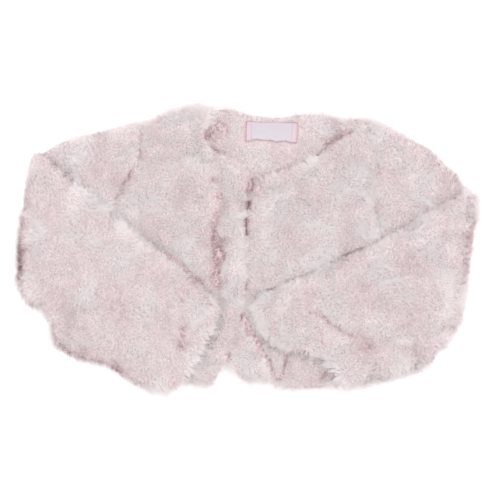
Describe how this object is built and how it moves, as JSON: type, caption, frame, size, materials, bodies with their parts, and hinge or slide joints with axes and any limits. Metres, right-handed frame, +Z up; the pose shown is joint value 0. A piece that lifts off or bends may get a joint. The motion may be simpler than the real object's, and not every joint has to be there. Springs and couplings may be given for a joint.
{
  "type": "bolero",
  "caption": "Cropped open-front bolero in pale pink deep-pile knit, laid flat face up with its sleeves folded over the fronts.",
  "frame": {"origin": "centre of the garment's outline, on the surface that it lies on", "axes": "+X to the viewer's right (the wearer's left), +Y towards the neck, +Z up from the surface. Left and right in the node names are the wearer's."},
  "size_m": [0.3928, 0.2458, 0.0205],
  "materials": {
    "pile_knit": "deep soft pile, matt, pale pink with whiter tips",
    "label_woven": "fine satin weave, pale lilac white with pink ends"
  },
  "bodies": {
    "root": {"back": "pile_knit", "front_right": "pile_knit", "front_left": "pile_knit", "sleeve_right": "pile_knit", "sleeve_left": "pile_knit", "neck_label": "label_woven"}
  },
  "joints": []
}
